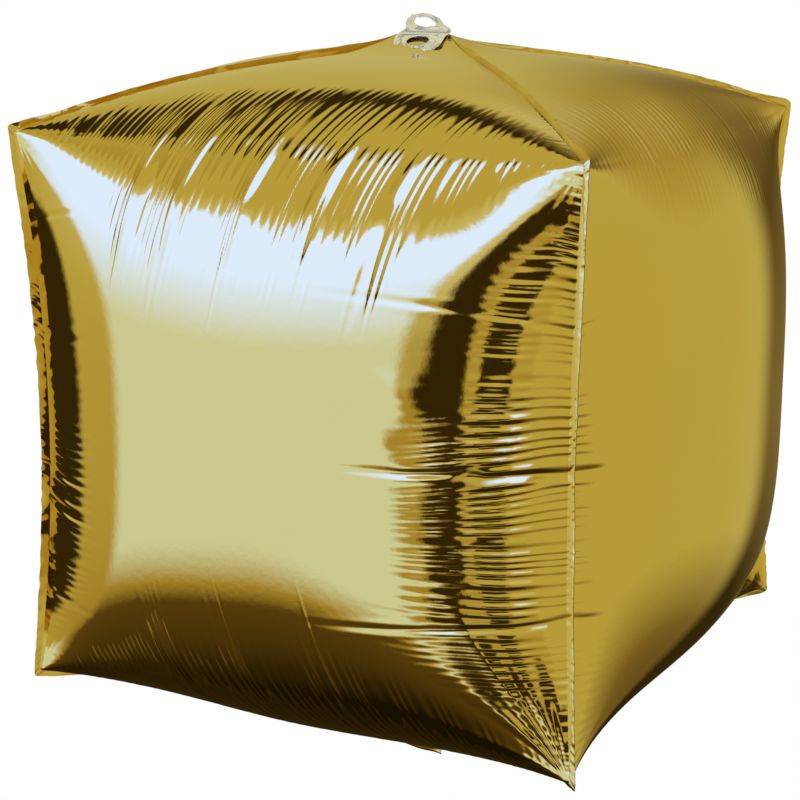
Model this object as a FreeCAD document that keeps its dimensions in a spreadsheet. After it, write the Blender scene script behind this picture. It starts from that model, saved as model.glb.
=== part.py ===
import FreeCAD, Part
import math
import os

import Sketcher

# Cube-shaped foil balloon, 380 mm across: four gores of metallised film, heat-sealed to each
# other along four seams that run from the top pole over a corner, down an upright edge and
# under to the bottom pole. The front and back gores end in a two-ply hang tab at the top pole
# and in a two-ply inflation neck at the bottom pole, with a clear self-sealing valve inside.
# Millimetres, +Z up, front towards -Y. The origin is the middle of the hang tab's root line,
# at the top pole; the balloon hangs below it.

V = FreeCAD.Vector

os.makedirs("parts", exist_ok=True)
doc = FreeCAD.newDocument("CubeFoilBalloon")

# ---------------------------------------------------------------- driving dimensions
sheet = doc.addObject("Spreadsheet::Sheet", "Sheet")
DIMENSIONS = [
    ("corner_half", 153.0),     # seam corners: half their spacing, left to right and front to back
    ("corner_rise", 144.0),     # seam corners above and below the middle
    ("face_reach", 190.0),      # middle to the crown of each upright face
    ("top_rise", 188.0),        # middle up to the top pole's root line
    ("bottom_rise", 173.0),     # middle down to the bottom pole's root line
    ("root_rise", 10.0),        # how far the film is drawn out towards each root line
    ("root_spread", 24.0),      # distance over which that peak fades away
    ("root_half", 14.5),        # half the width of a root line, which is the tab's and neck's width
    ("seam_bow", 0.055),        # inward bow of the upright seams, over their distance to the axis
    ("front_squareness", 4.0),  # squareness of the front and back gores' rounded level edges
    ("side_squareness", 3.2),   # the same for the left and right gores
    ("corner_squareness", 4.0),  # squareness that the seams lend to a gore, halfway between them
    ("face_fullness", 0.75),    # how far a face bulges like half an ellipse; near 0 like a parabola
    ("film", 0.35),             # stand-in thickness of one film
    ("fin_width", 5.0),         # width of a heat-sealed seam margin
    ("tab_length", 26.0),       # each ply of the hang tab, from its fold
    ("hang_hole", 13.0),        # diameter of the hole through each ply
    ("hinge_clearance", 0.1),   # left beside a folded end, so that it can turn
    ("front_droop", 12.0),      # front ply of the tab, degrees below level
    ("back_lift", 21.0),        # back ply of the tab, degrees above level
    ("neck_length", 47.0),      # inflation neck below the bottom pole
    ("channel_width", 19.0),    # flat air channel between the neck's plies
    ("channel_depth", 0.15),    # its depth in each ply
    ("valve_width", 24.0),      # clear valve films
    ("valve_length", 75.0),     # how far they stand up into the balloon
    ("valve_film", 0.15),       # thickness of one clear film
]
for row, (alias, number) in enumerate(DIMENSIONS, start=1):
    sheet.set(f"A{row}", alias)
    sheet.set(f"B{row}", str(number))
    sheet.setAlias(f"B{row}", alias)
doc.recompute()


def dimension(alias):
    return float(sheet.get(alias))


# ---------------------------------------------------------------- shape of the gores
ROWS_PER_STRETCH = 16      # control rows per quarter of a gore's length
COLUMNS = 13               # control columns across a gore
CORNER_HALF = dimension("corner_half")
CORNER_RISE = dimension("corner_rise")
FACE_REACH = dimension("face_reach")
ROOT_HALF = dimension("root_half")
ROOT_RISE = dimension("root_rise")
TOP_DOME = dimension("top_rise") - ROOT_RISE
BOTTOM_DOME = dimension("bottom_rise") - ROOT_RISE
FILM = dimension("film")

# A seam lies in an upright plane through the end of the root line and the cube's corners.
SEAM_ANGLE = math.atan2(CORNER_HALF, CORNER_HALF - ROOT_HALF)
SEAM_REACH = CORNER_HALF / math.sin(SEAM_ANGLE)

# Height parameter of a gore: 2 at the top pole, 1 at the top corners, 0 at mid height and
# -1 and -2 at the bottom corners and pole.
LEVELS = [2 - k / ROWS_PER_STRETCH for k in range(4 * ROWS_PER_STRETCH + 1)]


def reach_and_height(level):
    """Unit square outline: 1 out at the upright side, 1 up at the top."""
    out = min(1.0, 2 - abs(level))
    up = math.copysign(min(1.0, abs(level)), level)
    return out, up


def dome_rise(level, inset):
    """Middle to the rounded top or bottom, without the peak at the root line."""
    return (TOP_DOME if level > 0 else BOTTOM_DOME) - inset


def seam_profile(level, inset):
    """Distance from the root line's end and height of a seam, which bows in at mid height."""
    out, up = reach_and_height(level)
    reach = SEAM_REACH - inset
    corner = CORNER_RISE - inset
    dome = dome_rise(level, inset)
    if abs(level) < 1:
        return reach * (1 - dimension("seam_bow") * (1 - up ** 2)), corner * up
    return reach * out, math.copysign(dome - (dome - corner) * out ** 2, level)


def crown_profile(side_gore, level, inset):
    """Distance from the axis and height along the middle of a gore, a rounded square."""
    out, up = reach_and_height(level)
    start = ROOT_HALF if side_gore else 0.0
    power = dimension("side_squareness" if side_gore else "front_squareness")
    size = (out ** power + abs(up) ** power) ** (1 / power)
    reach = start + (FACE_REACH - inset - start) * out / size
    return reach, dome_rise(level, inset) * up / size


def bulge_profile(share):
    """Bulge of a face across its width, 1 in the middle and 0 at the seams."""
    fullness = dimension("face_fullness")
    rim = math.sqrt(1 - fullness)
    return (math.sqrt(1 - fullness * share ** 2) - rim) / (1 - rim)


def corner_rounding(level, share):
    """Factor that rounds a gore's level edges, and leaves them sharp at the seams."""
    out, up = reach_and_height(level)
    power = min(dimension("corner_squareness") / max(1 - abs(share), 0.02), 200.0)
    return (out ** power + abs(up) ** power) ** (-1 / power)


def root_peak(along, across, level):
    """Extra height where the film is drawn out towards a root line."""
    beyond = max(0.0, abs(along) - ROOT_HALF)
    distance = math.hypot(beyond, across)
    return math.copysign(ROOT_RISE * math.exp(-distance / dimension("root_spread")), level)


def gore_point(side_gore, level, share, inset, shift):
    """Point of a gore in its own directions: along its width, outwards, up.

    share runs from -1 at one seam to 1 at the other. A side gore comes to a point at each
    root line's end; a front or back gore is as wide as the root line there.
    """
    seam_out, seam_up = seam_profile(level, inset)
    narrow = seam_out * math.cos(SEAM_ANGLE) + ROOT_HALF
    wide = seam_out * math.sin(SEAM_ANGLE)
    half_width, seam_depth = (wide, narrow) if side_gore else (narrow, wide)
    crown_out, crown_up = crown_profile(side_gore, level, inset)
    sideways = half_width * share
    bulge = bulge_profile(share)
    rounding = corner_rounding(level, share) * (1 - bulge)
    outwards = seam_depth * rounding + crown_out * bulge
    height = seam_up * rounding + crown_up * bulge
    if side_gore:
        height += root_peak(outwards, sideways, level)
    else:
        height += root_peak(sideways, outwards, level)
    return sideways, outwards + shift, height


def fin_point(side_gore, level, side, shift):
    """Outer edge of a seam margin, which tapers away at the root lines."""
    sideways, outwards, height = gore_point(side_gore, level, side, 0.0, shift)
    out, up = reach_and_height(level)
    width = dimension("fin_width") * min(1.0, out / 0.15)
    beyond = width * out ** 4
    angle = SEAM_ANGLE if side_gore else math.pi / 2 - SEAM_ANGLE
    sideways += side * beyond * math.sin(angle)
    outwards += beyond * math.cos(angle)
    height += math.copysign(width * up ** 4, level)
    return sideways, outwards, height


def turn(point, heading):
    """Gore directions to the row frame; heading is the gore's outward direction in degrees."""
    sideways, outwards, height = point
    cosine, sine = math.cos(math.radians(heading)), math.sin(math.radians(heading))
    return V(outwards * cosine - sideways * sine, outwards * sine + sideways * cosine, height)


def knots(count, degree):
    values = list(range(count - degree + 1))
    repeats = [degree + 1] + [1] * (count - degree - 1) + [degree + 1]
    return values, repeats


def spline_face(net):
    """Face over a net of control points, straight across where the net has two columns."""
    degree = 3 if len(net[0]) > 2 else 1
    row_values, row_repeats = knots(len(net), 3)
    column_values, column_repeats = knots(len(net[0]), degree)
    surface = Part.BSplineSurface()
    surface.buildFromPolesMultsKnots(
        net, row_repeats, column_repeats, row_values, column_values, False, False, 3, degree)
    return surface.toShape()


def gore_solid(side_gore, heading):
    """One film panel with its two seam margins, closed on every side."""
    # The outer skin stands off the seam planes by the margin's thickness, so that neighbouring
    # margins meet face to face in those planes.
    angle = SEAM_ANGLE if side_gore else math.pi / 2 - SEAM_ANGLE
    shift = FILM / math.sin(angle)
    shares = [-1 + 2 * k / (COLUMNS - 1) for k in range(COLUMNS)]

    def net(inset, move):
        return [[turn(gore_point(side_gore, level, share, inset, move), heading)
                 for share in shares] for level in LEVELS]

    def fin_edge(side, move):
        return [turn(fin_point(side_gore, level, side, move), heading) for level in LEVELS]

    outer = net(0.0, shift)
    inner = net(FILM, 0.0)
    faces = [spline_face(outer), spline_face(inner)]
    for side, column in ((-1, 0), (1, -1)):
        outer_edge = [row[column] for row in outer]
        inner_edge = [row[column] for row in inner]
        near_rim = fin_edge(side, shift)
        seam_rim = fin_edge(side, 0.0)
        for first, second in ((outer_edge, near_rim), (near_rim, seam_rim), (seam_rim, inner_edge)):
            faces.append(spline_face([list(pair) for pair in zip(first, second)]))
    if not side_gore:
        for end in (0, -1):
            root_line = [turn(gore_point(False, LEVELS[end], share, 0.0, 0.0), heading)
                         for share in shares]
            faces.append(spline_face([list(pair) for pair in zip(outer[end], root_line)]))
            faces.append(spline_face([list(pair) for pair in zip(root_line, inner[end])]))
    shell = Part.makeShell(faces)
    shell.sewShape(0.001)
    solid = Part.Solid(shell)
    if solid.Volume < 0:
        solid.reverse()
    return solid


def add_panel(name, side_gore, heading):
    panel = doc.addObject("Part::Feature", name)
    panel.Label = name
    panel.Shape = gore_solid(side_gore, heading)
    panel.setExpression("Placement.Base.z", "-Sheet.top_rise")
    return panel


# ---------------------------------------------------------------- flat plies and films
def add_body(name):
    body = doc.addObject("PartDesign::Body", name)
    body.Label = name
    return body


def add_sketch(body, name):
    """Sketch in the body's own upright plane, across the width."""
    plane = next(item for item in body.Origin.OriginFeatures if item.Role == "XZ_Plane")
    sketch = body.newObject("Sketcher::SketchObject", f"{body.Name}_{name}")
    sketch.AttachmentSupport = [(plane, "")]
    sketch.MapMode = "FlatFace"
    return sketch


def constrain(sketch, expression, *definition):
    index = sketch.addConstraint(Sketcher.Constraint(*definition))
    if expression:
        sketch.setExpression(f"Constraints[{index}]", expression)


def draw_rectangle(sketch, width, height, direction):
    """Rectangle from the sketch's level axis, up for direction 1 and down for -1."""
    far = 20 * direction
    corners = [V(-10, 0, 0), V(10, 0, 0), V(10, far, 0), V(-10, far, 0)]
    for first, second in zip(corners, corners[1:] + corners[:1]):
        sketch.addGeometry(Part.LineSegment(first, second), False)
    for line in range(4):
        constrain(sketch, None, "Coincident", line, 2, (line + 1) % 4, 1)
    for line in (0, 2):
        constrain(sketch, None, "Horizontal", line)
    for line in (1, 3):
        constrain(sketch, None, "Vertical", line)
    constrain(sketch, None, "Symmetric", 0, 1, 0, 2, -1, 1)
    constrain(sketch, width, "DistanceX", 0, 1, 0, 2, 20.0)
    if direction > 0:
        constrain(sketch, height, "DistanceY", 1, 1, 1, 2, 20.0)
    else:
        constrain(sketch, height, "DistanceY", 1, 2, 1, 1, 20.0)


def draw_tab(sketch):
    """Tab outline, straight at the fold and round at its end, with the hang hole."""
    sketch.addGeometry(Part.LineSegment(V(-14, 0, 0), V(14, 0, 0)), False)
    sketch.addGeometry(Part.LineSegment(V(14, 0, 0), V(14, 12, 0)), False)
    round_end = Part.Circle(V(0, 12, 0), V(0, 0, 1), 14)
    sketch.addGeometry(Part.ArcOfCircle(round_end, 0, math.pi), False)
    sketch.addGeometry(Part.LineSegment(V(-14, 12, 0), V(-14, 0, 0)), False)
    sketch.addGeometry(Part.Circle(V(0, 13, 0), V(0, 0, 1), 6), False)
    constrain(sketch, None, "Coincident", 0, 2, 1, 1)
    constrain(sketch, None, "Tangent", 1, 2, 2, 1)
    constrain(sketch, None, "Tangent", 2, 2, 3, 1)
    constrain(sketch, None, "Coincident", 3, 2, 0, 1)
    constrain(sketch, None, "Symmetric", 0, 1, 0, 2, -1, 1)
    constrain(sketch, None, "Horizontal", 0)
    for line in (1, 3):
        constrain(sketch, None, "Vertical", line)
    constrain(sketch, None, "PointOnObject", 4, 3, -2)
    constrain(sketch, "2 * Sheet.root_half", "DistanceX", 0, 1, 0, 2, 28.0)
    constrain(sketch, "Sheet.tab_length - Sheet.root_half", "DistanceY", -1, 1, 2, 3, 12.0)
    constrain(sketch, "Sheet.tab_length / 2", "DistanceY", -1, 1, 4, 3, 13.0)
    constrain(sketch, "Sheet.hang_hole", "Diameter", 4, 12.0)


def add_pad(body, sketch, length, side=0):
    """Pad of the sketch: both ways for side 0, towards -Y for -1 and towards +Y for 1."""
    pad = body.newObject("PartDesign::Pad", f"{body.Name}_pad")
    pad.Profile = sketch
    pad.setExpression("Length", length)
    pad.Midplane = side == 0
    pad.Reversed = side > 0
    return pad


def add_tab_ply(name, side, angle):
    """Ply of the hang tab, folded about the root line; angle turns it from upright."""
    body = add_body(name)
    sketch = add_sketch(body, "outline")
    draw_tab(sketch)
    add_pad(body, sketch, "Sheet.film")
    body.Placement = FreeCAD.Placement(V(0, 0, 0), FreeCAD.Rotation(V(1, 0, 0), 45))
    body.setExpression("Placement.Rotation.Angle", angle)
    body.setExpression("Placement.Base.y", f"{side} * 0.75 * Sheet.film")
    body.setExpression("Placement.Base.z", "0.5 * Sheet.film + Sheet.hinge_clearance")
    return body


def add_neck_ply(name, side):
    """Ply of the inflation neck, with its half of the flat air channel."""
    body = add_body(name)
    outline = add_sketch(body, "outline")
    draw_rectangle(outline, "2 * Sheet.root_half", "Sheet.neck_length", -1)
    add_pad(body, outline, "Sheet.film", side)
    doc.recompute()
    plain_volume = body.Shape.Volume
    channel = add_sketch(body, "channel")
    draw_rectangle(channel, "Sheet.channel_width", "Sheet.neck_length", -1)
    pocket = body.newObject("PartDesign::Pocket", f"{body.Name}_pocket")
    pocket.Profile = channel
    pocket.setExpression("Length", "Sheet.channel_depth")
    pocket.Reversed = side < 0
    doc.recompute()
    cut = dimension("channel_width") * dimension("neck_length") * dimension("channel_depth")
    if abs(plain_volume - body.Shape.Volume - cut) > 0.01 * cut:
        raise RuntimeError(f"{name}: the air channel has not been cut")
    body.setExpression("Placement.Base.z",
                       "-Sheet.top_rise - Sheet.bottom_rise - Sheet.film - Sheet.hinge_clearance")
    return body


def add_valve_film(name, side):
    """Clear film of the self-sealing valve, standing on the inside of the bottom root line."""
    body = add_body(name)
    sketch = add_sketch(body, "outline")
    draw_rectangle(sketch, "Sheet.valve_width", "Sheet.valve_length", 1)
    add_pad(body, sketch, "Sheet.valve_film", side)
    body.setExpression("Placement.Base.z",
                       "-Sheet.top_rise - Sheet.bottom_rise + Sheet.film + Sheet.hinge_clearance")
    return body


# ---------------------------------------------------------------- the pieces
pieces = [
    add_panel("front_panel", False, -90),
    add_panel("right_panel", True, 0),
    add_panel("back_panel", False, 90),
    add_panel("left_panel", True, 180),
    add_tab_ply("hang_tab_front_ply", -1, "(90 + Sheet.front_droop) * 1 deg"),
    add_tab_ply("hang_tab_back_ply", 1, "(Sheet.back_lift - 90) * 1 deg"),
    add_neck_ply("neck_front_ply", -1),
    add_neck_ply("neck_back_ply", 1),
    add_valve_film("valve_front_film", -1),
    add_valve_film("valve_back_film", 1),
]
doc.recompute()

for item in doc.Objects:
    if "Invalid" in item.State or "Error" in item.State:
        raise RuntimeError(f"{item.Label}: {item.State}")
for piece in pieces:
    if piece.Shape.isNull() or not piece.Shape.isValid() or len(piece.Shape.Solids) != 1:
        raise RuntimeError(f"{piece.Label}: not one valid solid")
for piece in pieces:
    piece.Shape.exportStep(f"parts/{piece.Label}.step")
    box = piece.Shape.BoundBox
    print(f"{piece.Label}: {piece.Shape.Volume:.1f} mm3, "
          f"x {box.XMin:.1f} to {box.XMax:.1f}, y {box.YMin:.1f} to {box.YMax:.1f}, "
          f"z {box.ZMin:.1f} to {box.ZMax:.1f}")
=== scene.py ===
import math

import bpy
import numpy as np
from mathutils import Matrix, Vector


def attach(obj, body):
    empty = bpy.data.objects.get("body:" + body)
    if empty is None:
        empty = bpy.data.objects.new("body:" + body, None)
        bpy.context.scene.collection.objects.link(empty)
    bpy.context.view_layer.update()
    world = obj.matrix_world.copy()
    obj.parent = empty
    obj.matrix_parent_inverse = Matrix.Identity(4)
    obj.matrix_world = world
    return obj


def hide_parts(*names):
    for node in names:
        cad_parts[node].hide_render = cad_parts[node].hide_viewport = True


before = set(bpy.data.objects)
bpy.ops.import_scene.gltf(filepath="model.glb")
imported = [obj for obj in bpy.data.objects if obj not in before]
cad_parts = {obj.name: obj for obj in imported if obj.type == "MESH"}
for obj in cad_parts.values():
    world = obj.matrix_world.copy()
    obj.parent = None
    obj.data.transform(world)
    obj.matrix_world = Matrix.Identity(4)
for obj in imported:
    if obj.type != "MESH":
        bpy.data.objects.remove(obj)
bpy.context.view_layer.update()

# Looks of the cube-shaped foil balloon. The four film panels are rebuilt from the same formulas
# as the CAD gores, with their pleats, creases and crinkled seam margins as real geometry; the
# hang tab and the neck are curled films, and the clear valve keeps its CAD shape.
# Lengths are in millimetres until a mesh is made.
#
# A panel is a gore from pole to pole. level runs from 2 at the top pole through 1 and -1, where
# the level edges are, to -2 at the bottom pole; share runs from -1 at the near seam to 1 at the
# far one. Seam 0 is at the front's right, and the others follow anticlockwise from above.

MM = 0.001

# ---------------------------------------------------------------- dimensions shared with the CAD
CORNER_HALF = 153.0
CORNER_RISE = 144.0
FACE_REACH = 190.0
TOP_RISE = 188.0
BOTTOM_RISE = 173.0
ROOT_RISE = 10.0
ROOT_SPREAD = 24.0
ROOT_HALF = 14.5
SEAM_BOW = 0.055
FRONT_SQUARENESS = 4.0
SIDE_SQUARENESS = 3.2
CORNER_SQUARENESS = 4.0
FACE_FULLNESS = 0.75
FIN_WIDTH = 5.0
TAB_LENGTH = 26.0
HANG_HOLE = 13.0
FRONT_DROOP = 12.0
BACK_LIFT = 21.0
NECK_LENGTH = 47.0
FILM = 0.35
HINGE_CLEARANCE = 0.1

SEAM_ANGLE = math.atan2(CORNER_HALF, CORNER_HALF - ROOT_HALF)
SEAM_REACH = CORNER_HALF / math.sin(SEAM_ANGLE)
TOP_DOME = TOP_RISE - ROOT_RISE
BOTTOM_DOME = BOTTOM_RISE - ROOT_RISE

# Gores anticlockwise from the front; each one's far seam is its neighbour's near seam.
HEADINGS = {"front_panel": -90, "right_panel": 0, "back_panel": 90, "left_panel": 180}
FIN_PLY_GAP = 0.12

rng = np.random.default_rng(7)


# ---------------------------------------------------------------- small tools
def smooth(low, high, value):
    """Smooth step from 0 at low to 1 at high."""
    t = np.clip((value - low) / (high - low), 0.0, 1.0)
    return t * t * (3 - 2 * t)


def bell(value, middle, width):
    """Bell curve, 1 at its middle."""
    return np.exp(-((value - middle) / width) ** 2)


class Waver:
    """Smooth random curve of one variable, about -1 to 1, with a knot every `step`."""

    def __init__(self, step, low=-450.0, high=450.0):
        self.step, self.low = step, low
        self.knots = rng.uniform(-1.0, 1.0, int((high - low) / step) + 4)

    def __call__(self, value):
        place = (np.asarray(value) - self.low) / self.step
        place = np.clip(place, 0.0, len(self.knots) - 2.001)
        first = place.astype(int)
        part = smooth(0.0, 1.0, place - first)
        return self.knots[first] * (1 - part) + self.knots[first + 1] * part


def pleat_wave(phase):
    """Wave between -1 and 1 with narrower ridges than valleys."""
    return 0.65 * np.cos(phase) + 0.35 * (1 - 2 * np.abs(np.sin(phase / 2)))


def turned(points, heading):
    """Gore directions (sideways, outwards, up) to the row frame, from the body's middle."""
    sideways, outwards, height = points
    cosine, sine = math.cos(math.radians(heading)), math.sin(math.radians(heading))
    return np.stack([outwards * cosine - sideways * sine,
                     outwards * sine + sideways * cosine,
                     height - TOP_RISE], axis=-1)


def grid_faces(rows, columns, start=0):
    """Quads between the points of a grid, whose first point has the number start."""
    corner = start + np.arange(rows - 1)[:, None] * columns + np.arange(columns - 1)[None, :]
    corner = corner.ravel()
    return np.stack([corner, corner + 1, corner + columns + 1, corner + columns], axis=-1)


def mesh_object(name, points, faces, material):
    """Smooth-shaded mesh from millimetre points and quads."""
    mesh = bpy.data.meshes.new(name)
    mesh.vertices.add(len(points))
    mesh.vertices.foreach_set("co", (points * MM).astype(np.float32).ravel())
    mesh.loops.add(faces.size)
    mesh.loops.foreach_set("vertex_index", faces.astype(np.int32).ravel())
    mesh.polygons.add(len(faces))
    mesh.polygons.foreach_set("loop_start", np.arange(0, faces.size, 4, dtype=np.int32))
    mesh.update(calc_edges=True)
    mesh.validate()
    mesh.polygons.foreach_set("use_smooth", np.ones(len(mesh.polygons), dtype=bool))
    mesh.materials.append(material)
    piece = bpy.data.objects.new(name, mesh)
    bpy.context.scene.collection.objects.link(piece)
    return piece


# ---------------------------------------------------------------- gore shape
def reach_and_height(level):
    """Share of the way out from the pole, and share of the way up from the middle."""
    return np.minimum(1.0, 2 - np.abs(level)), np.clip(level, -1.0, 1.0)


def seam_profile(level):
    """Distance of a seam from the upright axis, and its height above the middle."""
    out, up = reach_and_height(level)
    dome = np.where(level > 0, TOP_DOME, BOTTOM_DOME)
    upright = np.abs(level) < 1
    reach = np.where(upright, 1 - SEAM_BOW * (1 - up ** 2), out) * SEAM_REACH
    height = np.where(upright, CORNER_RISE * up,
                      np.sign(level) * (dome - (dome - CORNER_RISE) * out ** 2))
    return reach, height


def crown_profile(side_gore, level):
    """The same for the line down the middle of a gore."""
    out, up = reach_and_height(level)
    start = ROOT_HALF if side_gore else 0.0
    power = SIDE_SQUARENESS if side_gore else FRONT_SQUARENESS
    size = (out ** power + np.abs(up) ** power) ** (1 / power)
    dome = np.where(level > 0, TOP_DOME, BOTTOM_DOME)
    return start + (FACE_REACH - start) * out / size, dome * up / size


def root_peak(along, across, level):
    """Extra height near the root lines of tab and neck, where the film is drawn to a peak."""
    distance = np.hypot(np.maximum(0.0, np.abs(along) - ROOT_HALF), across)
    return np.sign(level) * ROOT_RISE * np.exp(-distance / ROOT_SPREAD)


# Seams pucker: fine pleats cross them, with a few deep creases at places of their own. Lists
# of four go by seam.
SEAM_PITCH = 4.5
SEAM_PUCKER = [0.12, 0.1, 0.08, 0.05]
FAR_PLEATS = [1.1, 0.0, 0.0, 5.0]   # how much stronger the pleats are away from the seam
CREASES = [                     # height above the middle, depth, width
    [(70.0, 0.22, 1.6), (3.0, 0.6, 1.8), (-66.0, 0.45, 1.6)],
    [(60.0, 0.2, 2.0), (-20.0, 0.2, 2.2), (-118.0, 0.7, 2.4)],
    [(45.0, 0.3, 2.0), (-60.0, 0.4, 2.0)],
    [(98.0, 0.35, 1.6), (40.0, 0.6, 2.0), (-29.0, 0.35, 1.6), (-46.0, 0.5, 1.8), (-95.0, 0.3, 2.0)],
]
seam_shift = [Waver(11.0) for _ in range(4)]
seam_swell = [Waver(17.0) for _ in range(4)]


def seam_run(level):
    """Length along a seam from mid height."""
    _, height = seam_profile(level)
    out, _ = reach_and_height(level)
    return height + np.where(np.abs(level) > 1, np.sign(level) * (1 - out) * SEAM_REACH, 0.0)


def seam_wave(seam, run):
    """Pleats and creases across a seam at a place along it, as a rise of the film."""
    phase = 2 * math.pi * (run / SEAM_PITCH + 0.55 * seam_shift[seam](run))
    return SEAM_PUCKER[seam] * (1 + 0.6 * seam_swell[seam](run)) * pleat_wave(phase)


def crease_wave(seam, run):
    """Deep creases across a seam, each a valley between two low ridges."""
    rise = np.zeros_like(run)
    for place, depth, width in CREASES[seam]:
        valley = bell(run, place, width)
        ridge = bell(run, place + 1.7 * width, width) + bell(run, place - 1.7 * width, width)
        rise = rise + depth * (0.35 * ridge - valley)
    return rise


def bulge_profile(share):
    """Bulge of a face across its width: an arc of an ellipse, cut off before its vertical ends."""
    rim = math.sqrt(1 - FACE_FULLNESS)
    return (np.sqrt(1 - FACE_FULLNESS * share ** 2) - rim) / (1 - rim)


def corner_rounding(level, share):
    """Factor that rounds the level edges, more gently the further they are from a seam corner."""
    out, up = reach_and_height(level)
    power = np.minimum(CORNER_SQUARENESS / np.maximum(1 - np.abs(share), 0.02), 200.0)
    return (out ** power + np.abs(up) ** power) ** (-1 / power)


def gore_points(side_gore, level, share):
    """Film surface before its own pleats."""
    seam_out, seam_up = seam_profile(level)
    narrow = seam_out * math.cos(SEAM_ANGLE) + ROOT_HALF
    wide = seam_out * math.sin(SEAM_ANGLE)
    half_width, seam_depth = (wide, narrow) if side_gore else (narrow, wide)
    crown_out, crown_up = crown_profile(side_gore, level)
    bulge = bulge_profile(share)
    rounding = corner_rounding(level, share) * (1 - bulge)
    sideways = half_width * share
    outwards = seam_depth * rounding + crown_out * bulge
    height = seam_up * rounding + crown_up * bulge
    along, across = (outwards, sideways) if side_gore else (sideways, outwards)
    return sideways, outwards, height + root_peak(along, across, level)


def grid_normals(points):
    """Unit normals of a grid of points, away from the body's middle."""
    down = np.gradient(points, axis=0)
    along = np.gradient(points, axis=1)
    normal = np.cross(along, down)
    length = np.linalg.norm(normal, axis=-1, keepdims=True)
    normal = normal / np.maximum(length, 1e-9)
    centre = np.array([0.0, 0.0, -TOP_RISE])
    return normal * np.sign(np.sum(normal * (points - centre), axis=-1, keepdims=True))


# ---------------------------------------------------------------- pleats over the level edges
EDGE_PITCH = 4.7
PLEAT_SLANT = 0.26              # sideways, per length away from the edge
# Flutes: wider folds over an edge, among groups of long pleats. Place along the edge, half
# width, depth, for the front gore's top and bottom edges; the other gores have none.
TOP_FLUTES = [(-58.0, 3.0, 1.3), (-29.0, 4.2, 1.9), (8.0, 4.2, 2.0), (44.0, 4.4, 2.0), (78.0, 4.0, 1.5)]
BOTTOM_FLUTES = [(-42.0, 4.0, 0.3), (2.0, 4.0, 0.3), (52.0, 4.0, 0.35)]
FLUTE_GROUP = 15.0              # how far to each side of a flute the long pleats stand
edge_shift = [Waver(9.0) for _ in range(4)]
edge_swell = [Waver(6.0) for _ in range(4)]
edge_length = [Waver(3.1) for _ in range(4)]
flute_wander = Waver(14.0)


def flute_rise(gore, place, level, below):
    """Rise of the film from the flutes, and how far each point belongs to their groups."""
    group = np.zeros_like(place)
    flutes = np.zeros_like(place)
    if gore != 0:
        return flutes, group
    taper = 0.35 + 0.65 * smooth(-6.0, 42.0, below)
    extent = smooth(-16.0, 4.0, below) * smooth(70.0, 40.0, below)
    for side, places in ((1, TOP_FLUTES), (-1, BOTTOM_FLUTES)):
        here = np.where(level * side > 0, 1.0, 0.0)
        for middle, half, depth in places:
            wandered = place + 0.7 * flute_wander(below + 3 * middle)
            group = group + here * bell(place, middle, FLUTE_GROUP)
            flutes = flutes + here * depth * taper * extent * bell(wandered, middle, half * taper)
    return flutes, group


def edge_pleats(gore, sideways, level, share, strength):
    """Pleats that run over the top and bottom edges; groups of them reach far down the face."""
    below = (1 - np.abs(level)) * CORNER_RISE
    width = np.minimum(1.0, (1 - np.abs(share)) / 0.5)
    place = sideways + PLEAT_SLANT * below
    phase = 2 * math.pi * (place / EDGE_PITCH + 0.5 * edge_shift[gore](place))
    flutes, group = flute_rise(gore, place, level, below)
    on_top = level > 0
    # Short pleats stand all along an edge. Far ones reach down the face, furthest in a group,
    # and those over the edge fade out on the top and the underside.
    short = np.exp(-(np.maximum(0.0, below) / (4 + 13 * width)) ** 1.6) * np.where(on_top, 1.0, 0.4)
    reach = (58 + 46 * group * (0.6 + 0.4 * edge_length[gore](place))) * (0.1 + 0.9 * width)
    long = 0.1 * group + np.where(on_top, 1.1, 0.5) * group * smooth(26.0, 50.0, below)
    far = (np.where(on_top, 0.36, 0.5) + long) * smooth(1.0, 0.6, np.maximum(0.0, below) / reach)
    over = 0.45 * smooth(0.42, 0.06, np.abs(level) - 1)
    tall = np.where(below > 0, np.maximum(np.minimum(short, 0.6 + below / 20), far), over)
    swell = 0.75 + 0.5 * edge_swell[gore](place)
    amount = np.where(on_top, strength[0], strength[1]) * smooth(0.0, 0.12, 1 - np.abs(share))
    return amount * (0.35 + 0.65 * width) * tall * swell * pleat_wave(phase) + flutes


# ---------------------------------------------------------------- pleats beside the seams
# How far a seam's pleats and creases reach into each gore, near seam then far seam. Between the
# fine pleats, coarse ones stand a little way in.
COARSE_PITCH = 13.0
PLEAT_REACH = {"front_panel": (40.0, 68.0), "right_panel": (12.0, 6.0),
               "back_panel": (40.0, 30.0), "left_panel": (14.0, 20.0)}
CREASE_REACH = {"front_panel": (34.0, 88.0), "right_panel": (14.0, 22.0),
                "back_panel": (60.0, 60.0), "left_panel": (40.0, 40.0)}
coarse_shift = [Waver(26.0) for _ in range(4)]
pleat_drift = [Waver(19.0) for _ in range(4)]
pleat_tilt = [Waver(45.0) for _ in range(4)]
pleat_patch = [Waver(30.0, -900.0, 1500.0) for _ in range(4)]


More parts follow.
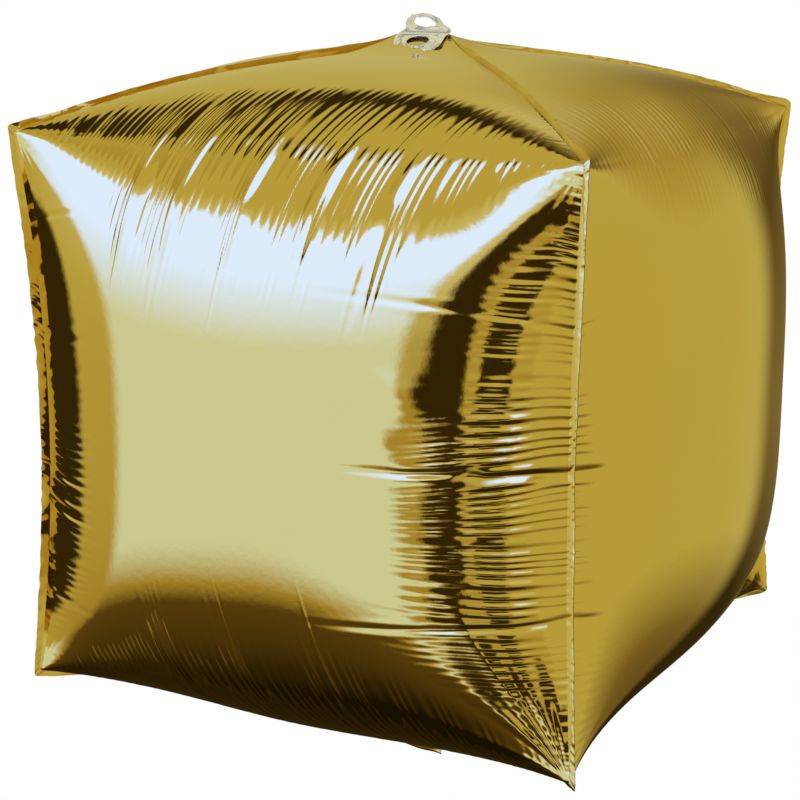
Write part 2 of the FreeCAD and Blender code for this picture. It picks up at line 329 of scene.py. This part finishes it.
def seam_pleats(gore, name, level, share, half_width):
    """Rise of the film from the pleats that start at both seams, finest beside the seam."""
    run = seam_run(level)
    lift = np.zeros_like(run)
    upper, lower = smooth(1.05, 0.0, level), smooth(-1.05, -0.4, level)
    narrowing = 0.08 + 0.92 * np.where(level > 0, upper, lower)
    for side, seam, place in ((-1, (gore - 1) % 4, 0), (1, gore, 1)):
        inside = half_width * (1 - side * share)
        reach = PLEAT_REACH[name][place] * narrowing
        tilted = run + 0.8 * pleat_drift[seam](inside) + 0.16 * pleat_tilt[seam](run) * inside
        fine = seam_wave(seam, tilted) * smooth(1.3, 0.2, inside / reach)
        patchy = 1 + 0.8 * pleat_patch[seam](1.6 * run + 4 * inside)
        fine = fine * (1 + FAR_PLEATS[seam] * patchy * smooth(4.0, 26.0, inside))
        coarse_phase = 2 * math.pi * (tilted / COARSE_PITCH + 0.5 * coarse_shift[seam](run))
        coarse = 0.22 * np.cos(coarse_phase) * smooth(0.0, 0.4, inside / reach)
        coarse = coarse * smooth(1.4, 0.4, inside / reach)
        crease = crease_wave(seam, run) * np.exp(-(inside / CREASE_REACH[name][place]) ** 4)
        lift = lift + 0.9 * fine + 0.4 * coarse + crease
    out, _ = reach_and_height(level)
    return lift * smooth(0.0, 0.25, out) * (0.3 + 0.7 * narrowing)


# ---------------------------------------------------------------- swellings of the front face
# Height above the middle, distance from the right seam, half height, half width, rise.
SWELLINGS = [(34.0, 70.0, 8.0, 13.0, 0.5), (14.0, 78.0, 6.0, 9.0, 0.3)]


def swellings(level, share, half_width):
    """Soft swellings beside the pleats of the right seam; each leans a little."""
    run = seam_run(level)
    inside = half_width * (1 - share)
    rise = np.zeros_like(run)
    for height, distance, tall, wide, most in SWELLINGS:
        leaning = inside - distance - 0.3 * (run - height)
        rise = rise + most * bell(run, height, tall) * bell(leaning, 0.0, wide)
    return rise


# ---------------------------------------------------------------- folds that meet at the corners
# Their depth above and below, for each gore.
CORNER_FOLDS = {"front_panel": (0.05, 0.02), "right_panel": (0.05, 0.1),
                "back_panel": (0.1, 0.12), "left_panel": (0.07, 0.1)}
corner_shift = [Waver(0.25, -2.0, 2.0) for _ in range(4)]
FAN_DEPTH = 0.32                # of the long folds that fan out from the front's lower right corner


def corner_folds(gore, name, level, share, half_width):
    """Radial folds around each seam corner, and the fan at the front's lower right one."""
    inside = half_width * (1 - np.abs(share))
    down = (1 - np.abs(level)) * CORNER_RISE
    distance = np.hypot(inside, down)
    angle = np.arctan2(down, inside)
    top, bottom = CORNER_FOLDS[name]
    amount = np.where(level > 0, top, bottom)
    phase = 22.0 * (angle + 0.12 * corner_shift[gore](angle))
    fade = smooth(0.0, 14.0, distance) * np.exp(-distance / 26.0)
    folds = amount * fade * pleat_wave(phase)
    if gore == 0:
        fan = np.where((level < 0) & (share > 0), FAN_DEPTH, 0.0) * bell(angle, 0.95, 0.55)
        fan = fan * smooth(0.0, 20.0, distance) * np.exp(-(distance / 75.0) ** 2)
        folds = folds + fan * pleat_wave(1.1 * phase)
    return folds * smooth(0.0, 6.0, inside) * smooth(0.0, 5.0, down)


# ---------------------------------------------------------------- panels
# Rows and columns of points.
PANEL_GRIDS = {"front_panel": (840, 601), "right_panel": (620, 301),
               "back_panel": (420, 301), "left_panel": (420, 301)}
# Depth of the pleats over the top and the bottom edge.
EDGE_STRENGTH = {"front_panel": (0.34, 0.28), "right_panel": (0.13, 0.03),
                 "back_panel": (0.2, 0.06), "left_panel": (0.1, 0.04)}
FIN_COLUMNS = 7
FIN_BEND = [1.9, 0.3, 0.0, 0.4]  # by seam: how far its margin leans out of the seam's plane
SEAM_GRIP = 6.0                 # beside a seam, the film moves with the seam over this distance
fin_fold = [Waver(4.0) for _ in range(4)]
fin_curl = [Waver(13.0) for _ in range(4)]
fin_edge_wave = [Waver(6.0) for _ in range(4)]


def seam_pull(seam, level):
    """How far the seam itself is drawn outwards."""
    out, _ = reach_and_height(level)
    run = seam_run(level)
    return (seam_wave(seam, run) + crease_wave(seam, run)) * smooth(0.0, 0.12, out)


def pull_seams(local, side_gore, gore, level, share, half_width):
    """Moves the film beside each seam with the seam, in the seam's own plane."""
    sideways, outwards, height = local
    angle = SEAM_ANGLE if side_gore else math.pi / 2 - SEAM_ANGLE
    inside = half_width * (1 - np.abs(share))
    pull = np.where(share > 0, seam_pull(gore, level), seam_pull((gore - 1) % 4, level))
    pull = pull * np.exp(-inside / SEAM_GRIP)
    return (sideways + np.sign(share) * pull * math.sin(angle),
            outwards + pull * math.cos(angle), height)


def fin_grid(side_gore, gore, level, side):
    """Seam margin beside one edge of a gore, crinkled, from the seam outwards."""
    seam = gore if side > 0 else (gore - 1) % 4
    share_at_seam = np.full_like(level, float(side))
    local = gore_points(side_gore, level, share_at_seam)
    sideways, outwards, height = pull_seams(local, side_gore, gore, level, share_at_seam, 1.0)
    out, up = reach_and_height(level)
    run = seam_run(level)
    taper = np.minimum(1.0, out / 0.15)
    rounded = 1 - 0.4 * (out * np.abs(up)) ** 6 - 0.5 * smooth(1.0, 1.12, np.abs(level))
    width = FIN_WIDTH * taper * rounded * (0.94 + 0.06 * fin_edge_wave[seam](run))
    angle = SEAM_ANGLE if side_gore else math.pi / 2 - SEAM_ANGLE
    share = np.linspace(0.0, 1.0, FIN_COLUMNS)[None, :]
    beyond = (width * out ** 4)[:, None] * share
    rise = (np.sign(level) * width * up ** 4)[:, None] * share
    on_top = smooth(1.0, 1.15, level)
    curl = 0.12 * fin_fold[seam](run) + (0.3 + 0.5 * on_top) * fin_curl[seam](run)
    crinkle = (FIN_BEND[seam] + 0.4 * on_top + curl)[:, None] * share ** 1.3
    crinkle = crinkle * taper[:, None] - side * FIN_PLY_GAP * share
    to_side = side * beyond * math.sin(angle) + crinkle * math.cos(angle)
    to_front = beyond * math.cos(angle) - side * crinkle * math.sin(angle)
    return sideways[:, None] + to_side, outwards[:, None] + to_front, height[:, None] + rise


def build_panel(name, material):
    """One gore of film with its pleats, and its two seam margins."""
    gore = list(HEADINGS).index(name)
    heading = HEADINGS[name]
    side_gore = gore % 2 == 1
    rows, columns = PANEL_GRIDS[name]
    level = np.linspace(2.0, -2.0, rows)
    even = np.linspace(-1, 1, columns)
    share = 0.75 * even + 0.25 * np.sin(even * math.pi / 2)
    levels, shares = np.meshgrid(level, share, indexing="ij")
    local = gore_points(side_gore, levels, shares)
    half_width = np.abs(local[0][:, -1:])
    normal = grid_normals(turned(local, heading))
    points = turned(pull_seams(local, side_gore, gore, levels, shares, half_width), heading)
    lift = edge_pleats(gore, local[0], levels, shares, EDGE_STRENGTH[name])
    lift = lift + corner_folds(gore, name, levels, shares, half_width)
    inside = half_width * (1 - np.abs(shares))
    free = 1 - np.exp(-inside / SEAM_GRIP)
    lift = lift + seam_pleats(gore, name, levels, shares, half_width) * free
    if gore == 0:
        lift = lift + swellings(levels, shares, half_width)
    points = points + normal * lift[..., None]
    parts, faces = [points.reshape(-1, 3)], [grid_faces(rows, columns)]
    for side in (-1, 1):
        start = sum(len(part) for part in parts)
        fin = turned(fin_grid(side_gore, gore, level, side), heading)
        parts.append(fin.reshape(-1, 3))
        faces.append(grid_faces(rows, FIN_COLUMNS, start))
    panel = mesh_object("film_" + name, np.concatenate(parts), np.concatenate(faces), material)
    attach(panel, "belly")
    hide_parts(name)
    return panel


# ---------------------------------------------------------------- hang tab and neck
FLAP_FILM = 0.16
TAB_STEPS_ROUND, TAB_STEPS_OUT = 180, 26
NECK_ROWS, NECK_COLUMNS = 50, 41
NECK_TAPER = 0.16
NECK_MOUTH = 1.3                # how far each ply stands open at the mouth


def thin_film(points, material, name, rides):
    """Film of even thickness on a grid of points, closed round its rim."""
    rows, columns = points.shape[:2]
    normal = np.cross(np.gradient(points, axis=1), np.gradient(points, axis=0))
    normal = normal / np.maximum(np.linalg.norm(normal, axis=-1, keepdims=True), 1e-9)
    upper = (points + 0.5 * FLAP_FILM * normal).reshape(-1, 3)
    lower = (points - 0.5 * FLAP_FILM * normal).reshape(-1, 3)
    index = np.arange(rows * columns).reshape(rows, columns)
    rim = np.concatenate([index[0], index[1:, -1], index[-1, -2::-1], index[-2::-1, 0]])
    below = rim + rows * columns
    sides = np.stack([rim[:-1], below[:-1], below[1:], rim[1:]], axis=-1)
    faces = np.concatenate([grid_faces(rows, columns), grid_faces(rows, columns)[:, ::-1] + rows * columns,
                            sides])
    flap = mesh_object("film_" + name, np.concatenate([upper, lower]), faces, material)
    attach(flap, rides)
    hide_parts(name)
    return flap


def tab_outline(angle):
    """Distance from the hole's middle to the tab's edge: straight sides, round end."""
    across, along = np.cos(angle), np.sin(angle)
    middle = TAB_LENGTH / 2
    round_middle = TAB_LENGTH - ROOT_HALF - middle
    to_round = round_middle * along + np.sqrt(ROOT_HALF ** 2 - (round_middle * across) ** 2)
    to_side = ROOT_HALF / np.maximum(np.abs(across), 1e-6)
    to_fold = np.where(along < 0, middle / np.maximum(-along, 1e-6), 1e6)
    on_side = to_side * along < round_middle
    return np.minimum(np.where(on_side, to_side, to_round), to_fold)


def tab_ply(name, rides, side, rise, curl):
    """Crumpled ply of the hang tab, from its fold line; curl gives its lift off the flat."""
    angle = np.linspace(-math.pi / 2, 1.5 * math.pi, TAB_STEPS_ROUND + 1)[:, None]
    out = np.linspace(0.0, 1.0, TAB_STEPS_OUT)[None, :] ** 0.8
    radius = HANG_HOLE / 2 + (tab_outline(angle) - HANG_HOLE / 2) * out
    across = radius * np.cos(angle)
    along = TAB_LENGTH / 2 + radius * np.sin(angle)
    held = smooth(0.0, 7.0, along)
    across, along, lift = curl(across, along)
    welt = 0.55 * bell(out, 0.8, 0.12) - 0.4 * bell(out, 0.45, 0.14) + 0.4 * bell(out, 0.1, 0.12)
    lift = (lift + welt) * held
    tilt = math.radians(rise)
    y = side * (0.75 * FILM + along * math.cos(tilt) - lift * math.sin(tilt))
    z = 0.5 * FILM + HINGE_CLEARANCE + along * math.sin(tilt) + lift * math.cos(tilt)
    return thin_film(np.stack([across, y, z], axis=-1), silver, name, rides)


def front_curl(across, along):
    """Rim wavy and bent up at the right, end bent down, the whole ply drawn to the right."""
    far = along / TAB_LENGTH
    lift = 1.0 * far * np.sin(across / 4.6 + 0.6) + 1.3 * (across / ROOT_HALF) ** 3 * far
    lift = lift - 2.9 * far ** 2 + 0.4 * np.sin(across * 0.9 + along * 0.5) * far
    return across + 0.42 * along * far, along * (1 + 0.1 * far), lift


def back_curl(across, along):
    """Middle raised, sides and end lower, one slanting crease, the ply drawn to the left."""
    far = smooth(0.0, 16.0, along)
    roll = (np.abs(across) / ROOT_HALF) ** 2 * far
    lift = 1.0 * bell(across - 1.0, 0.0, 5.5) * far - 0.9 * roll - 0.5 * (along / TAB_LENGTH) ** 3
    lift = lift + 0.9 * bell(across + 0.55 * along - 6.0, 0.0, 1.6) * far
    return across * (1 - 0.22 * roll) - 0.46 * along * far, along * (1 - 0.08 * far), lift


def neck_ply(name, side):
    """Limp ply of the inflation neck, a little open and wavy at its mouth."""
    across = np.linspace(-1, 1, NECK_COLUMNS)[None, :]
    down = np.linspace(0, 1, NECK_ROWS)[:, None]
    width = ROOT_HALF * (1 - NECK_TAPER * smooth(0.2, 1.0, down))
    gap = 0.5 * FLAP_FILM + 0.02 + NECK_MOUTH * (1 - across ** 2) ** 2 * smooth(0.55, 1.0, down)
    sway = 0.9 * down * np.sin(2.6 * across + 1.0) + 0.6 * down ** 2 * np.sin(7.0 * down + 2 * across)
    pucker = 0.14 * np.cos(2 * math.pi * down * 9 + 3 * across) * np.abs(across) ** 3 * down
    x = width * across + 0 * down
    y = side * gap + sway + pucker
    top = -TOP_RISE - BOTTOM_RISE - FILM - HINGE_CLEARANCE
    z = top - NECK_LENGTH * down - down * (0.5 * np.cos(3.0 * across) + 1.6 * across - 1.6)
    return thin_film(np.stack([x, y, z], axis=-1), gold, name, "neck")


# ---------------------------------------------------------------- materials
FILM_COLOUR = (0.87, 0.65, 0.22)
INNER_COLOUR = (0.97, 0.97, 0.94)
CLEAR_COLOUR = (0.92, 0.94, 0.95)
TINT_SCALE, HAZE_SCALE, RIPPLE_SCALE = 18.0, 45.0, 260.0    # of the noise, per metre


def new_material(name):
    """Node material, with what is needed to build on it."""
    material = bpy.data.materials.new(name)
    material.use_nodes = True
    nodes = material.node_tree.nodes
    return material, nodes, material.node_tree.links, nodes["Principled BSDF"]


def noise(nodes, links, vector, scale, detail):
    texture = nodes.new("ShaderNodeTexNoise")
    texture.inputs["Scale"].default_value = scale
    texture.inputs["Detail"].default_value = detail
    links.new(vector, texture.inputs["Vector"])
    return texture.outputs["Fac"]


def spread(nodes, links, value, low, high):
    """Value between 0 and 1, brought to the range from low to high."""
    mapping = nodes.new("ShaderNodeMapRange")
    mapping.inputs["To Min"].default_value = low
    mapping.inputs["To Max"].default_value = high
    links.new(value, mapping.inputs["Value"])
    return mapping.outputs["Result"]


def film_material(name, colour, rough, satin):
    """Lacquered metal film: mirror-bright, with faint waviness, slight haze and uneven tint.

    satin is the share of the light that the film scatters.
    """
    material, nodes, links, shader = new_material(name)
    place = nodes.new("ShaderNodeTexCoord").outputs["Object"]
    shader.inputs["Metallic"].default_value = 1.0 - satin
    tint = nodes.new("ShaderNodeMixRGB")
    tint.inputs["Color1"].default_value = (*[part * 0.97 for part in colour], 1)
    tint.inputs["Color2"].default_value = (*colour, 1)
    links.new(noise(nodes, links, place, TINT_SCALE, 3.0), tint.inputs["Fac"])
    links.new(tint.outputs["Color"], shader.inputs["Base Color"])
    haze = spread(nodes, links, noise(nodes, links, place, HAZE_SCALE, 4.0), rough * 0.7, rough * 1.3)
    links.new(haze, shader.inputs["Roughness"])
    bump = nodes.new("ShaderNodeBump")
    bump.inputs["Strength"].default_value = 0.05
    bump.inputs["Distance"].default_value = 0.0004
    links.new(noise(nodes, links, place, RIPPLE_SCALE, 2.0), bump.inputs["Height"])
    links.new(bump.outputs["Normal"], shader.inputs["Normal"])
    return material


def clear_material(name):
    """Clear film, a little unevenly hazy."""
    material, nodes, links, shader = new_material(name)
    shader.inputs["Base Color"].default_value = (*CLEAR_COLOUR, 1)
    shader.inputs["Alpha"].default_value = 0.35
    place = nodes.new("ShaderNodeTexCoord").outputs["Object"]
    haze = spread(nodes, links, noise(nodes, links, place, 60.0, 3.0), 0.1, 0.2)
    links.new(haze, shader.inputs["Roughness"])
    return material


gold = film_material("gold_film", FILM_COLOUR, 0.035, 0.0)
silver = film_material("tab_film", INNER_COLOUR, 0.09, 0.38)
clear = clear_material("clear_film")

for name in HEADINGS:
    build_panel(name, gold)

tab_ply("hang_tab_front_ply", "tab_front", -1, -FRONT_DROOP, front_curl)
tab_ply("hang_tab_back_ply", "tab_back", 1, BACK_LIFT, back_curl)
neck_ply("neck_front_ply", -1)
neck_ply("neck_back_ply", 1)
for name in ("valve_front_film", "valve_back_film"):
    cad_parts[name].data.materials.clear()
    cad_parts[name].data.materials.append(clear)


# ---------------------------------------------------------------- studio
def linear(colour):
    """8-bit display colour to linear light."""
    parts = [c / 255 for c in colour]
    return [p / 12.92 if p <= 0.04045 else ((p + 0.055) / 1.055) ** 2.4 for p in parts]


def lamp_for(seen):
    """Light whose reflection in the gold film shows as the colour `seen`."""
    return [light / film for light, film in zip(linear(seen), FILM_COLOUR)]


# The film is a mirror, so the studio round it is what gives it light and dark: a dark floor, a
# white window ahead and one at the right, and warm walls. Each colour is the one that the film
# then shows.
DARK = (24, 16, 0)
SHADE = (50, 34, 4)
UMBER = (84, 59, 11)
BRONZE = (118, 88, 26)
DEEP_GOLD = (164, 130, 39)
GOLD = (184, 156, 57)
PALE_GOLD = (201, 180, 95)
KHAKI = (205, 202, 143)
SILVER = (214, 221, 206)
WHITE = (222, 237, 252)

# A ring of sectors, each with its colours from low to high, by elevation in degrees. They are
# placed so that the film shows light and dark where it does in the photograph.
AHEAD = [(-90, DARK), (-62, DARK), (-50, SHADE), (-29, UMBER), (-25, DEEP_GOLD), (-20, KHAKI),
         (-9, KHAKI), (-4, SILVER), (3, WHITE), (20.5, WHITE), (22.5, PALE_GOLD), (28, GOLD), (90, GOLD)]
GOLD_LEFT = [(-90, DARK), (-50, SHADE), (-36, BRONZE), (-25, DEEP_GOLD), (-8, GOLD), (8, PALE_GOLD),
             (22, DEEP_GOLD), (60, GOLD), (90, GOLD)]
DARK_LEFT = [(-90, DARK), (-16, SHADE), (2, SHADE), (14, DEEP_GOLD), (40, GOLD), (45, SHADE),
             (55, SHADE), (60, GOLD), (90, GOLD)]
REAR_LEFT = [(-90, DARK), (-26, SHADE), (-20, DEEP_GOLD), (-10, PALE_GOLD), (4, GOLD), (36, GOLD),
             (41, SHADE), (52, SHADE), (58, GOLD), (90, GOLD)]
REAR_DARK = [(-90, DARK), (-26, SHADE), (-14, BRONZE), (0, UMBER), (12, BRONZE), (25, DEEP_GOLD),
             (34, PALE_GOLD), (44, DEEP_GOLD), (90, GOLD)]
REAR = [(-90, DARK), (-42, SHADE), (-31, BRONZE), (-21, GOLD), (8, GOLD), (24, DEEP_GOLD),
        (34, PALE_GOLD), (46, DEEP_GOLD), (90, GOLD)]
GOLD_RIGHT = [(-90, DARK), (-38, SHADE), (-24, DEEP_GOLD), (-14, DEEP_GOLD), (0, PALE_GOLD),
              (18, PALE_GOLD), (24, WHITE), (60, WHITE), (68, GOLD), (90, GOLD)]
DARK_RIGHT = [(-90, DARK), (-30, SHADE), (4, SHADE), (18, PALE_GOLD), (24, WHITE), (60, WHITE),
              (68, GOLD), (90, GOLD)]
STRIPE = [(-90, DARK), (-34, SHADE), (-24, GOLD), (-7, DEEP_GOLD), (18, PALE_GOLD), (24, WHITE),
          (60, WHITE), (68, GOLD), (90, GOLD)]
DASHED = [(-90, DARK), (-30, SHADE), (-26, GOLD), (-22, SHADE), (-9, SHADE), (-5, GOLD), (8, GOLD),
          (24, WHITE), (60, WHITE), (68, GOLD), (90, GOLD)]
BRIGHT = [(-90, DARK), (-34, SHADE), (-26, DEEP_GOLD), (-8, GOLD), (3, PALE_GOLD), (10, WHITE),
          (60, WHITE), (68, GOLD), (90, GOLD)]
# Where each sector begins, in degrees round from the middle of the bright one; how softly; and
# how far its edge is drawn outwards DRAWN_AT degrees above and below WAIST.
SECTORS = [(-180, 1, 0, REAR), (-159, 7, 0, REAR_DARK), (-128, 9, 0, REAR_LEFT),
           (-98, 4, 0, DARK_LEFT), (-51.0, 2.5, -7, GOLD_LEFT), (-33, 2.5, -12, AHEAD),
           (37, 2.2, 9, GOLD_RIGHT), (43.5, 1.8, 7, DARK_RIGHT), (54.5, 1.0, 0, STRIPE),
           (58.5, 0.8, 0, DASHED), (69, 1.0, 0, BRIGHT), (77, 1.5, 0, REAR)]
AHEAD_MIDDLE = -34.0
WAIST = -13.0
DRAWN_AT = 16.0
MOST_DRAWN = 1.2                # as a share of the draw at DRAWN_AT
WINDOW_SILL = 20.0
WINDOW_LEAN = 0.1               # how fast the window at the right comes in, above its sill
RIGHT_EDGE = 46.0
RIGHT_DROP = 13.0               # how far the bright sector's bands are moved at its right edge
DROP_MIDDLE = -6.0              # they aren't moved close to this elevation
DROP_NEAR, DROP_FAR = 7.0, 14.0


class Nodes:
    """Small helper that chains math nodes in one tree."""

    def __init__(self, tree):
        self.nodes, self.links = tree.nodes, tree.links

    def put(self, socket, value):
        if isinstance(value, (int, float, tuple)):
            socket.default_value = value
        else:
            self.links.new(value, socket)

    def math(self, operation, first, second=0.0):
        node = self.nodes.new("ShaderNodeMath")
        node.operation = operation
        self.put(node.inputs[0], first)
        self.put(node.inputs[1], second)
        return node.outputs["Value"]

    def step(self, value, low, high):
        node = self.nodes.new("ShaderNodeMapRange")
        node.interpolation_type = "SMOOTHSTEP"
        self.put(node.inputs["Value"], value)
        self.put(node.inputs["From Min"], low)
        self.put(node.inputs["From Max"], high)
        return node.outputs["Result"]

    def ramp(self, value, stops):
        node = self.nodes.new("ShaderNodeValToRGB")
        self.put(node.inputs["Fac"], value)
        elements = node.color_ramp.elements
        while len(elements) < len(stops):
            elements.new(0.5)
        for element, (place, colour) in zip(elements, stops):
            element.position = (place + 90) / 180
            element.color = (*colour, 1)
        return node.outputs["Color"]

    def mix(self, factor, first, second):
        node = self.nodes.new("ShaderNodeMixRGB")
        self.put(node.inputs["Fac"], factor)
        self.put(node.inputs["Color1"], first)
        self.put(node.inputs["Color2"], second)
        return node.outputs["Color"]


def studio_world():
    """Ring of sectors for the film to reflect; the camera and matt surfaces see plain white."""
    world = bpy.data.worlds.new("studio")
    bpy.context.scene.world = world
    world.use_nodes = True
    world.cycles.sampling_method = "NONE"
    tree = world.node_tree
    tree.nodes.clear()
    n = Nodes(tree)
    direction = tree.nodes.new("ShaderNodeTexCoord").outputs["Generated"]
    split = tree.nodes.new("ShaderNodeSeparateXYZ")
    tree.links.new(direction, split.inputs[0])
    degrees = 180 / math.pi
    elevation = n.math("MULTIPLY", n.math("ARCSINE", split.outputs["Z"]), degrees)
    height = n.math("DIVIDE", n.math("ADD", elevation, 90.0), 180.0)
    middle = math.radians(AHEAD_MIDDLE)
    ahead = n.math("SUBTRACT", n.math("MULTIPLY", split.outputs["X"], math.sin(middle)),
                   n.math("MULTIPLY", split.outputs["Y"], math.cos(middle)))
    aside = n.math("ADD", n.math("MULTIPLY", split.outputs["X"], math.cos(middle)),
                   n.math("MULTIPLY", split.outputs["Y"], math.sin(middle)))
    turn = n.math("MULTIPLY", n.math("ARCTAN2", aside, ahead), degrees)
    off_waist = n.math("DIVIDE", n.math("SUBTRACT", elevation, WAIST), DRAWN_AT)
    bend = n.math("MINIMUM", n.math("MULTIPLY", off_waist, off_waist), MOST_DRAWN)
    over_sill = n.math("MAXIMUM", n.math("SUBTRACT", elevation, WINDOW_SILL), 0.0)
    bend = n.math("SUBTRACT", bend, n.math("MULTIPLY", over_sill, WINDOW_LEAN))
    to_right = n.math("MINIMUM", n.math("MAXIMUM", turn, 0.0), RIGHT_EDGE)
    rightness = n.math("DIVIDE", to_right, RIGHT_EDGE)
    off_middle = n.math("ABSOLUTE", n.math("SUBTRACT", elevation, DROP_MIDDLE))
    away = n.step(off_middle, DROP_NEAR, DROP_FAR)
    drop = n.math("MULTIPLY", n.math("MULTIPLY", rightness, rightness), RIGHT_DROP / 180)
    raised = n.math("ADD", height, n.math("MULTIPLY", drop, away))
    studio = None
    for start, soft, drawn, stops in SECTORS:
        lights = [(place, lamp_for(seen)) for place, seen in stops]
        colours = n.ramp(raised if stops is AHEAD else height, lights)
        if studio is None:
            studio = colours
            continue
        drawn_turn = n.math("SUBTRACT", turn, n.math("MULTIPLY", bend, float(drawn)))
        studio = n.mix(n.step(drawn_turn, start - soft, start + soft), studio, colours)
    path = tree.nodes.new("ShaderNodeLightPath")
    plain = n.math("MAXIMUM", path.outputs["Is Camera Ray"], path.outputs["Is Diffuse Ray"])
    shown = n.mix(plain, studio, (1, 1, 1, 1))
    background = tree.nodes.new("ShaderNodeBackground")
    tree.links.new(shown, background.inputs["Color"])
    output = tree.nodes.new("ShaderNodeOutputWorld")
    tree.links.new(background.outputs["Background"], output.inputs["Surface"])


studio_world()
bpy.context.scene.view_settings.view_transform = "Standard"


# In front, a little to the right and above. The target, from the balloon's middle, and the
# distance are in half widths of the cube between its seam corners.
CAMERA_AZIMUTH, CAMERA_ELEVATION = 27.26, 14.01
CAMERA_TARGET = (-0.095, 0.0, -0.084)
CAMERA_DISTANCE = 6.969
CAMERA_LENS = 86.3


def studio_camera():
    """Camera that sees the balloon as the product picture does."""
    azimuth, elevation = math.radians(CAMERA_AZIMUTH), math.radians(CAMERA_ELEVATION)
    back = Vector((math.sin(azimuth) * math.cos(elevation),
                   -math.cos(azimuth) * math.cos(elevation), math.sin(elevation)))
    target = Vector(CAMERA_TARGET) * CORNER_HALF * MM + Vector((0, 0, -TOP_RISE * MM))
    camera = bpy.data.objects.new("camera", bpy.data.cameras.new("camera"))
    camera.location = target + back * CAMERA_DISTANCE * CORNER_HALF * MM
    camera.rotation_mode = "QUATERNION"
    camera.rotation_quaternion = (-back).to_track_quat("-Z", "Y")
    camera.data.lens = CAMERA_LENS
    bpy.context.scene.collection.objects.link(camera)
    bpy.context.scene.camera = camera


studio_camera()


def studio_floor():
    """Plain pale floor, well below the hanging balloon."""
    material, nodes, links, shader = new_material("floor")
    shader.inputs["Base Color"].default_value = (1, 1, 1, 1)
    shader.inputs["Roughness"].default_value = 1.0
    shader.inputs["Specular IOR Level"].default_value = 0.0
    half, height = 3.0, -1.3
    corners = [(-half, -half, height), (half, -half, height), (half, half, height), (-half, half, height)]
    mesh = bpy.data.meshes.new("floor")
    mesh.from_pydata(corners, [], [(0, 1, 2, 3)])
    mesh.materials.append(material)
    floor = bpy.data.objects.new("floor", mesh)
    floor.visible_glossy = False
    bpy.context.scene.collection.objects.link(floor)


studio_floor()
